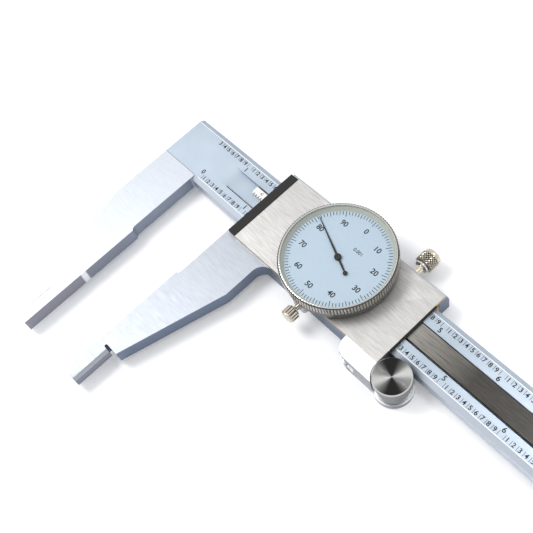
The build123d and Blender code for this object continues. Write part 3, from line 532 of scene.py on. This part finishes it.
def bevelledPiece(node, width, materials):
    shape = bmesh.new()
    shape.from_mesh(frame["nodes"][node].data)
    bmesh.ops.remove_doubles(shape, verts=shape.verts, dist=bevelSetup["join"] * mm)
    if node == "beam":
        everything = shape.verts[:] + shape.edges[:] + shape.faces[:]
        bmesh.ops.bisect_plane(shape, geom=everything, plane_co=(0, jawLineY * mm, 0), plane_no=(0, 1, 0))
    bmesh.ops.recalc_face_normals(shape, faces=shape.faces)
    for face in shape.faces:
        face.material_index = finishIndex(node, face, len(materials))
    bmesh.ops.dissolve_limit(shape, angle_limit=math.radians(bevelSetup["flatDegrees"]),
                             verts=shape.verts, edges=shape.edges, delimit={"MATERIAL"})
    mesh = bpy.data.meshes.new(node + "Shape")
    shape.to_mesh(mesh)
    shape.free()
    piece = showPiece(node + "Dressed", mesh, node, materials)
    bevel = piece.modifiers.new("brokenEdges", "BEVEL")
    bevel.width = width * mm
    bevel.segments = bevelSetup["segments"]
    bevel.limit_method = "ANGLE"
    bevel.angle_limit = sharpAngle
    bevel.harden_normals = True
    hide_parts(node)


for node, (width, materials) in bevelledPieces.items():
    bevelledPiece(node, width, materials)


# Turned pieces: rows of radius, height, finish of the band that starts there and depth of the knurl's cut.
# A piece lists its finishes, and a knurl's valleys have the one that follows its own, a dark finish that
# paints the shade in them.

turnSetup = {
    "join": 0.001,  # corners closer than this become one
    "valleyShare": 0.72,  # a knurl deeper than this share of its cut has the valley's finish, its painted shade
}


def turnProfile(shape, rows, columns, place, materials, knurl):
    # Revolves the rows about the Z axis of place. knurl says how deep height and angle are cut, 0 to 1.
    rings = []
    for radius, height, finish, cut in rows:
        ring = []
        for column in range(columns):
            angle = math.tau * column / columns
            reach = radius - (cut * knurl(height, angle) if cut else 0)
            corner = place @ Vector((reach * math.cos(angle), reach * math.sin(angle), height))
            ring.append((shape.verts.new(corner * mm), reach))
        rings.append(ring)
    for i, (lower, upper) in enumerate(zip(rings, rings[1:])):
        radius, height, finish, cut = rows[i]
        for column in range(columns):
            after = (column + 1) % columns
            corners = [lower[column], lower[after], upper[after], upper[column]]
            face = shape.faces.new([vert for vert, reach in corners])
            depth = radius - sum(reach for vert, reach in corners) / 4
            inValley = cut and rows[i + 1][3] and depth > turnSetup["valleyShare"] * cut
            face.material_index = materials.index(finish) + (1 if inValley else 0)


def turnedPiece(name, node, rows, columns, place, materials, knurl=None):
    shape = bmesh.new()
    turnProfile(shape, rows, columns, place, materials, knurl)
    bmesh.ops.remove_doubles(shape, verts=shape.verts, dist=turnSetup["join"] * mm)
    bmesh.ops.recalc_face_normals(shape, faces=shape.faces)
    mesh = bpy.data.meshes.new(name)
    shape.to_mesh(mesh)
    shape.free()
    piece = showPiece(name, mesh, node, materials)
    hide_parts(node)


def straightKnurl(count):
    return lambda height, angle: abs((angle * count / math.tau) % 1 * 2 - 1)


def diamondKnurl(count, pitch):
    # Two crossed spirals of grooves leave rows of small pyramids.
    def depth(height, angle):
        left = (angle * count / math.tau + height / pitch) % 1
        right = (angle * count / math.tau - height / pitch) % 1
        return max(abs(left * 2 - 1), abs(right * 2 - 1))
    return depth


# The bezel: lip, straight knurl, smooth skirt, and the sloped ring between dial and crystal
bezelSetup = {
    "skirtInset": 0.55,
    "sleeveInset": 2.0,
    "edge": 0.12,
    "knurlHeight": 4.0,
    "knurlDepth": 0.35,
    "knurlRamp": 0.25,  # length over which the knurl runs in and out
    "knurls": 120,
    "columnsPerKnurl": 6,
    "chamfer": 0.35,
    "chamferCut": 0.3,  # share of the knurl's depth that the chamfer takes off
    "lipInner": 1.15,
    "lipOuter": 0.65,
    "lipDrop": 0.02,
    "crystalDrop": 0.25,
    "crystalThick": 0.82,
    "seatLedge": 0.1,
    "ringInner": 19.5,  # just outside the dial's ticks
    "ringTop": 0.06,  # heights of the ring's inner edge over the dial
    "ringBottom": 0.03,
}


def makeBezel(setup):
    low, high = (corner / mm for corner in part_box("bezel"))
    radius = (high.x - low.x) / 2
    tall = high.z - low.z
    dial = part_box("dial_face")[1].z / mm - low.z
    seat = tall - setup["crystalDrop"] - setup["crystalThick"]
    bore = radius - setup["lipInner"]
    skirt = radius - setup["skirtInset"]
    sleeve = radius - setup["sleeveInset"]
    ring = setup["ringInner"]
    knurlLow = tall - setup["knurlHeight"]
    knurlHigh = tall - setup["chamfer"]
    depth, cut, ramp, edge = setup["knurlDepth"], setup["chamferCut"], setup["knurlRamp"], setup["edge"]
    # painted shade: knurlValley, knurlEdge and bezelSkirt; painted highlight: bezelLip
    materials = ["bezelKnurl", "knurlValley", "bezelLip", "innerWall", "bezelSkirt", "knurlEdge"]
    rows = [
        (sleeve, 0, "bezelSkirt", 0),
        (skirt - edge, 0, "bezelSkirt", 0),
        (skirt, edge, "bezelSkirt", 0),
        (skirt, knurlLow, "bezelSkirt", 0),
        (radius - depth, knurlLow, "bezelKnurl", 0),
        (radius, knurlLow + ramp, "bezelKnurl", depth),
        (radius, knurlHigh - ramp, "bezelKnurl", depth),
        (radius - cut * depth, knurlHigh, "knurlEdge", (1 - cut) * depth),
        (radius - setup["lipOuter"], tall - setup["lipDrop"], "bezelLip", 0),
        (bore + edge, tall, "bezelLip", 0),
        (bore, tall - edge, "bezelLip", 0),
        (bore, seat, "innerWall", 0),
        (bore - setup["seatLedge"], seat, "innerWall", 0),
        (ring, dial + setup["ringTop"], "innerWall", 0),
        (ring, dial + setup["ringBottom"], "bezelSkirt", 0),
        (sleeve, dial + setup["ringBottom"], "bezelSkirt", 0),
        (sleeve, 0, "bezelSkirt", 0),
    ]
    x, y, z = boxMiddle("bezel")
    place = Matrix.Translation((x, y, low.z))
    columns = setup["knurls"] * setup["columnsPerKnurl"]
    turnedPiece("bezelDressed", "bezel", rows, columns, place, materials, straightKnurl(setup["knurls"]))


# The two thumb screws: shank, neck, collar, knurled head and a crowned cap
lockSetup = {
    "node": "lock_screw",
    "out": 1,  # points up the Y axis
    "shank": 1.8,
    "neck": 1.6,
    "neckLength": 2.4,
    "collar": 2.7,
    "collarLength": 1.0,
    "head": 3.7,
    "headLength": 6.2,
    "knurlShare": 0.72,
    "knurls": 20,
    "pitch": 1.15,  # of the diamond knurl's spirals
    "depth": 0.36,
    "capInset": 0.3,
    "crown": 0.9,
    "crownInset": 1.2,
    "rowsPerMm": 9,
}
clampSetup = {
    "node": "bezel_clamp_screw",
    "out": -1,  # points down the Y axis
    "shank": 1.1,
    "neck": 1.0,
    "neckLength": 1.0,
    "collar": 2.2,
    "collarLength": 0.5,
    "head": 2.9,
    "headLength": 3.9,
    "knurlShare": 0.86,
    "knurls": 14,  # fewer and deeper than on the real screw, so that they show
    "pitch": 0,  # a straight knurl
    "depth": 0.4,
    "capInset": 0.3,
    "crown": 0.3,
    "crownInset": 0.6,
    "rowsPerMm": 1,
}
screwShape = {
    "edge": 0.15,
    "headStep": 0.3,  # step under the head
    "knurlGap": 0.2,  # plain band at both ends of the knurl
    "capRise": 0.05,
    "crownKnee": (0.2, 0.35),  # shares of the crown's inset and height
    "columnsPerKnurl": 8,
}


def makeThumbScrew(setup):
    low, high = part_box(setup["node"])
    length = (high.y - low.y) / mm
    headStart = length - setup["headLength"]
    collarStart = headStart - setup["collarLength"]
    neckStart = collarStart - setup["neckLength"]
    knurlEnd = headStart + setup["headLength"] * setup["knurlShare"]
    shank, neck, collar, head = setup["shank"], setup["neck"], setup["collar"], setup["head"]
    cap, crown, depth = head - setup["capInset"], setup["crown"], setup["depth"]
    edge, step, gap = screwShape["edge"], screwShape["headStep"], screwShape["knurlGap"]
    kneeIn, kneeDown = screwShape["crownKnee"]
    rows = [
        (0, 0, "nickel", 0),
        (shank - edge, 0, "nickel", 0),
        (shank, edge, "nickel", 0),
        (shank, neckStart, "nickel", 0),
        (neck, neckStart, "nickel", 0),
        (neck, collarStart, "nickel", 0),
        # painted highlight on the collar's chamfer
        (collar - edge, collarStart, "bezelLip", 0),
        (collar, collarStart + edge, "bezelLip", 0),
        (collar, headStart - edge, "nickel", 0),
        # painted shade on the step under the head
        (collar - step, headStart - edge, "nickelValley", 0),
        (collar - step, headStart, "nickel", 0),
        (head - depth - edge, headStart, "nickel", 0),
    ]
    knurled = knurlEnd - headStart - 2 * gap
    bands = max(1, round(knurled * setup["rowsPerMm"]))
    for band in range(bands + 1):
        rows.append((head, headStart + gap + knurled * band / bands, "nickel", depth))
    rows += [
        (head - depth, knurlEnd, "nickel", 0),
        (cap, knurlEnd + screwShape["capRise"], "nickel", 0),
        (cap, length - crown, "nickel", 0),
        (cap - kneeIn * setup["crownInset"], length - kneeDown * crown, "nickel", 0),
        (head - setup["crownInset"], length, "nickel", 0),
        (0, length, "nickel", 0),
    ]
    x, y, z = boxMiddle(setup["node"])
    start = low.y if setup["out"] > 0 else high.y
    turn = Matrix.Rotation(math.radians(-90 * setup["out"]), 4, "X")
    place = Matrix.Translation((x, start / mm, z)) @ turn
    knurls, pitch = setup["knurls"], setup["pitch"]
    knurl = diamondKnurl(knurls, pitch) if pitch else straightKnurl(knurls)
    columns = knurls * screwShape["columnsPerKnurl"]
    materials = ["nickel", "nickelValley", "bezelLip"]
    turnedPiece(setup["node"] + "Dressed", setup["node"], rows, columns, place, materials, knurl)


# The thumb roller: face-turned disc over a polished drum
rollerSetup = {
    "disc": 7.05,
    "discHeight": 2.3,
    "discEdge": 0.2,
    "drum": 6.7,
    "drumEdge": 0.3,
    "hollow": 0.35,  # dish of the turned face
    "chamfer": 0.42,
    "groove": 0.25,
    "grooveRamp": (0.15, 0.05),  # start and end under the disc
    "bore": 1.55,
    "roof": 1.0,  # from the disc's underside down to the end of the bore
    "columns": 96,
}


def makeRoller(setup):
    low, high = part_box("thumb_roller")
    tall = (high.z - low.z) / mm
    disc, drum, bore = setup["disc"], setup["drum"], setup["bore"]
    under = tall - setup["discHeight"]
    roof = under - setup["roof"]
    rampStart, rampEnd = setup["grooveRamp"]
    # the drum and the disc's side are polished steel painted dark: painted shade
    rows = [
        (bore, 0, "polished", 0),
        (drum - setup["drumEdge"], 0, "polished", 0),
        (drum, setup["drumEdge"], "polished", 0),
        (drum, under - rampStart, "polished", 0),
        # painted shade in the groove under the disc
        (drum - setup["groove"], under - rampEnd, "shadeLine", 0),
        (drum - setup["groove"], under, "shadeLine", 0),
        (disc - setup["discEdge"], under, "polished", 0),
        (disc, under + setup["discEdge"], "polished", 0),
        # painted highlight on the chamfer
        (disc, tall - setup["chamfer"], "bezelLip", 0),
        (disc - setup["chamfer"], tall, "roller", 0),
        (0, tall - setup["hollow"], "roller", 0),
        (0, roof, "polished", 0),
        (bore, roof, "polished", 0),
        (bore, 0, "polished", 0),
    ]
    x, y, z = boxMiddle("thumb_roller")
    place = Matrix.Translation((x, y, low.z / mm))
    materials = ["roller", "polished", "shadeLine", "bezelLip"]
    turnedPiece("rollerDressed", "thumb_roller", rows, setup["columns"], place, materials)


makeBezel(bezelSetup)
makeThumbScrew(lockSetup)
makeThumbScrew(clampSetup)
makeRoller(rollerSetup)

# Nodes that keep their own shape
plainFinishes = {
    "rack": "rackSteel",
    "rack_screws": "screw",
    "end_stop": "plain",
    "end_stop_screws": "screw",
    "plate_screws": "screw",
    "rear_wiper": "rubber",
    "gib": "brass",
    "gib_screws": "screw",
    "cover_strip": "strip",
    "dial_case": "case",
    "case_screws": "screw",
    "movement_bridge": "brass",
    "bridge_screws": "screw",
    "rack_pinion": "screw",
    "drive_gear": "brass",
    "backlash_gear": "brass",
    "backlash_spring": "blued",
    "centre_pinion": "screw",
    "pointer": "lacquer",
    "dial_face": "enamel",
    "crystal": "acrylic",
    "bezel_retainer": "blued",
    "bezel_clamp": "plain",
    "bracket_screws": "screw",
    "roller_axle": "screw",
    "roller_washer": "plain",
}
for node, finish in plainFinishes.items():
    mesh = frame["nodes"][node].data
    mesh.materials.clear()
    mesh.materials.append(finishes[finish])
    smoothFaces(mesh)
print("pieces dressed")


# Scales

lift = 0.02  # height of paint over the metal
numberSetup = {
    "fontSize": 1.4,  # font size for a number one high
    "boldFrom": 1.5,  # numbers higher than this are bolder
    "bold": 0.03,
    "light": 0.012,
}
numberCache = {}


def numberMesh(text, height):
    # One number as a flat mesh, centred on its own middle.
    curve = bpy.data.curves.new("number" + text, "FONT")
    curve.body = text
    curve.size = height * numberSetup["fontSize"] * mm
    weight = numberSetup["bold" if height > numberSetup["boldFrom"] else "light"]
    curve.offset = height * weight * mm
    holder = bpy.data.objects.new("number" + text, curve)
    bpy.context.scene.collection.objects.link(holder)
    bpy.context.view_layer.update()
    mesh = bpy.data.meshes.new_from_object(holder.evaluated_get(bpy.context.evaluated_depsgraph_get()))
    bpy.data.objects.remove(holder)
    xs = [vert.co.x for vert in mesh.vertices]
    ys = [vert.co.y for vert in mesh.vertices]
    middle = Vector(((min(xs) + max(xs)) / 2, (min(ys) + max(ys)) / 2, 0))
    mesh.transform(Matrix.Translation(-middle))
    return mesh


def addNumber(shape, text, height, x, y, z):
    if (text, height) not in numberCache:
        numberCache[text, height] = numberMesh(text, height)
    before = len(shape.verts)
    shape.from_mesh(numberCache[text, height])
    shape.verts.ensure_lookup_table()
    for vert in shape.verts[before:]:
        vert.co += Vector((x, y, z)) * mm


def addTick(shape, start, end, width, z):
    along = (Vector(end) - Vector(start)).normalized()
    side = Vector((-along.y, along.x)) * width / 2
    corners = [Vector(start) - side, Vector(end) - side, Vector(end) + side, Vector(start) + side]
    shape.faces.new([shape.verts.new((c.x * mm, c.y * mm, z * mm)) for c in corners])


def markingPiece(name, shape, node, material):
    mesh = bpy.data.meshes.new(name)
    bmesh.ops.recalc_face_normals(shape, faces=shape.faces)
    for face in shape.faces:
        if face.normal.z < 0:
            face.normal_flip()
    shape.to_mesh(mesh)
    shape.free()
    showPiece(name, mesh, node, [material])


# The beam's two scales, in inches with numbered tenths: outside along the lower edge, inside along the upper
scaleSetup = {
    "inches": 12,
    "numberHeight": 1.75,
    "labelHeight": 2.0,
    "tickWidth": 0.16,
    "tickShift": 2.1,  # how far along the zero tick stands
    "digitShift": 0.6,
    "labelShift": 0.5,
}
outsideSetup = {
    "labelY": -6.0,
    "digitY": -7.84,
    "ticks": (-8.9, -6.9),
    "offset": 0.0,
    "first": 0,
}
insideSetup = {
    "labelY": 5.9,
    "digitY": 7.75,
    "ticks": (6.9, 8.9),
    "offset": -12.7,  # the width of the two nibs
    "first": 3,  # the first tenth that is engraved
}
beamLow, beamHigh = (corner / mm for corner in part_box("beam"))
beamMarkZ = beamHigh.z + lift


def beamScale(name, setup):
    shape = bmesh.new()
    low, high = setup["ticks"]
    for tenth in range(setup["first"], scaleSetup["inches"] * 10 + 1):
        x = tenth * inch / 10 + setup["offset"]
        tickX = x + scaleSetup["tickShift"]
        addTick(shape, (tickX, low), (tickX, high), scaleSetup["tickWidth"], beamMarkZ)
        if tenth % 10:
            digitX = x + scaleSetup["digitShift"]
            addNumber(shape, str(tenth % 10), scaleSetup["numberHeight"], digitX, setup["digitY"], beamMarkZ)
        else:
            labelX = x + scaleSetup["labelShift"]
            addNumber(shape, str(tenth // 10), scaleSetup["labelHeight"], labelX, setup["labelY"], beamMarkZ)
    markingPiece(name, shape, "beam", "ink")


# Lines on the beam: one scribed between beam and jaw face, a painted shade line along the groove's lower
# edge, and a painted highlight along the crease inside each long edge
lineSetup = {
    "jawLineStart": 0.3,  # inside the beam's left end
    "jawLineEnd": -1.2,
    "jawLineWidth": 0.14,
    "grooveHalf": 4.22,  # half the groove's width
    "grooveLineWidth": 0.36,
    "grooveLineStart": 13.0,
    "creaseInset": 2.02,
    "creaseWidth": 0.22,
    "creaseStart": 0.4,  # inside the beam's left end, on the upper edge
    "lowerCreaseStart": 0.6,
    "endGap": 0.5,  # before the beam's right end
}


def lineMarks(setup):
    shape = bmesh.new()
    end = beamHigh.x - setup["endGap"]
    jawStart = (beamLow.x + setup["jawLineStart"], jawLineY)
    addTick(shape, jawStart, (setup["jawLineEnd"], jawLineY), setup["jawLineWidth"], beamMarkZ)
    # painted shade: a dark line along the groove's lower edge
    groove = -setup["grooveHalf"] - setup["grooveLineWidth"] / 2
    grooveStart = (setup["grooveLineStart"], groove)
    addTick(shape, grooveStart, (end, groove), setup["grooveLineWidth"], beamMarkZ)
    markingPiece("beamLines", shape, "beam", "ink")
    # painted highlights along the crease inside each long edge
    shape = bmesh.new()
    crease = beamHigh.y - setup["creaseInset"]
    creaseStarts = {-crease: setup["lowerCreaseStart"], crease: beamLow.x + setup["creaseStart"]}
    for y, start in creaseStarts.items():
        addTick(shape, (start, y), (end, y), setup["creaseWidth"], beamMarkZ)
    markingPiece("beamCreases", shape, "beam", "edgeLight")


# The dial: 100 divisions of 0.001 inch, the tens numbered
dialSetup = {
    "divisions": 100,
    "divisionDegrees": 3.6,
    "numberRadius": 14.33,
    "numberHeight": 2.1,
    "tickOuter": 19.3,
    "tickInner": {1: 17.9, 5: 17.5, 10: 17.1},  # the longer ticks stand at fives and tens
    "tickWidth": 0.24,
    "unitText": "0.001",
    "unitHeight": 1.4,
    "unitPlace": (3.6, 6.4),
}


def dialMarks(setup):
    shape = bmesh.new()
    low, high = (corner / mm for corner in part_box("dial_face"))
    centre = (low.x + high.x) / 2
    z = high.z + lift
    for mark in range(setup["divisions"]):
        angle = math.radians(90 - mark * setup["divisionDegrees"])
        way = Vector((math.cos(angle), math.sin(angle)))
        inner = setup["tickInner"][max(step for step in setup["tickInner"] if mark % step == 0)]
        start, end = (Vector((centre, 0)) + way * reach for reach in (inner, setup["tickOuter"]))
        addTick(shape, start, end, setup["tickWidth"], z)
        if mark % 10 == 0:
            x, y = Vector((centre, 0)) + way * setup["numberRadius"]
            addNumber(shape, str(mark), setup["numberHeight"], x, y, z)
    x, y = setup["unitPlace"]
    addNumber(shape, setup["unitText"], setup["unitHeight"], centre + x, y, z)
    markingPiece("dialMarks", shape, "dial_face", "dialInk")


beamScale("outsideScale", outsideSetup)
beamScale("insideScale", insideSetup)
lineMarks(lineSetup)
dialMarks(dialSetup)
print("scales drawn")


# Floor: white paper that keeps the caliper's shadow and glows for the rays that meet the backdrop

floorSetup = {
    "drop": 0.05,  # gap under the caliper
    "half": 1500.0,
    "centre": (90.0, -20.0, 0.0),
    "near": 200.0,  # the glow grows from here
    "far": 600.0,
    "glow": 0.12,
    "farGlow": 0.34,
    "glowColor": "#FFFFFF",
    "paper": "#FBFAF9",
    "roughness": 0.9,
}


def floorMaterial(setup):
    material, tree = newMaterial("whitePaperFloor")
    place = addNode(tree, "ShaderNodeTexCoord")
    centre = [c * mm for c in setup["centre"]]
    away = addNode(tree, "ShaderNodeVectorMath", {"operation": "DISTANCE", 1: centre},
                   {0: place.outputs["Object"]})
    far = addNode(tree, "ShaderNodeMapRange",
                  {"From Min": setup["near"] * mm, "From Max": setup["far"] * mm,
                   "To Min": setup["glow"], "To Max": setup["farGlow"]},
                  {"Value": away.outputs["Value"]})
    glow = addNode(tree, "ShaderNodeMath", {"operation": "MULTIPLY"},
                   {0: backdropRays(tree).outputs[0], 1: far.outputs[0]})
    finishMaterial(tree,
                   {"Base Color": linearColor(setup["paper"]), "Roughness": setup["roughness"],
                    "Emission Color": linearColor(setup["glowColor"])},
                   {"Emission Strength": glow.outputs[0]})
    return material


def makeFloor(setup):
    half = setup["half"] * mm
    z = cadBox[0][2] - setup["drop"] * mm
    corners = [(-half, -half, z), (half, -half, z), (half, half, z), (-half, half, z)]
    mesh = bpy.data.meshes.new("floor")
    mesh.from_pydata(corners, [], [(0, 1, 2, 3)])
    mesh.materials.append(floorMaterial(setup))
    floor = bpy.data.objects.new("floor", mesh)
    bpy.context.scene.collection.objects.link(floor)


makeFloor(floorSetup)
bpy.context.scene.view_settings.view_transform = "Standard"
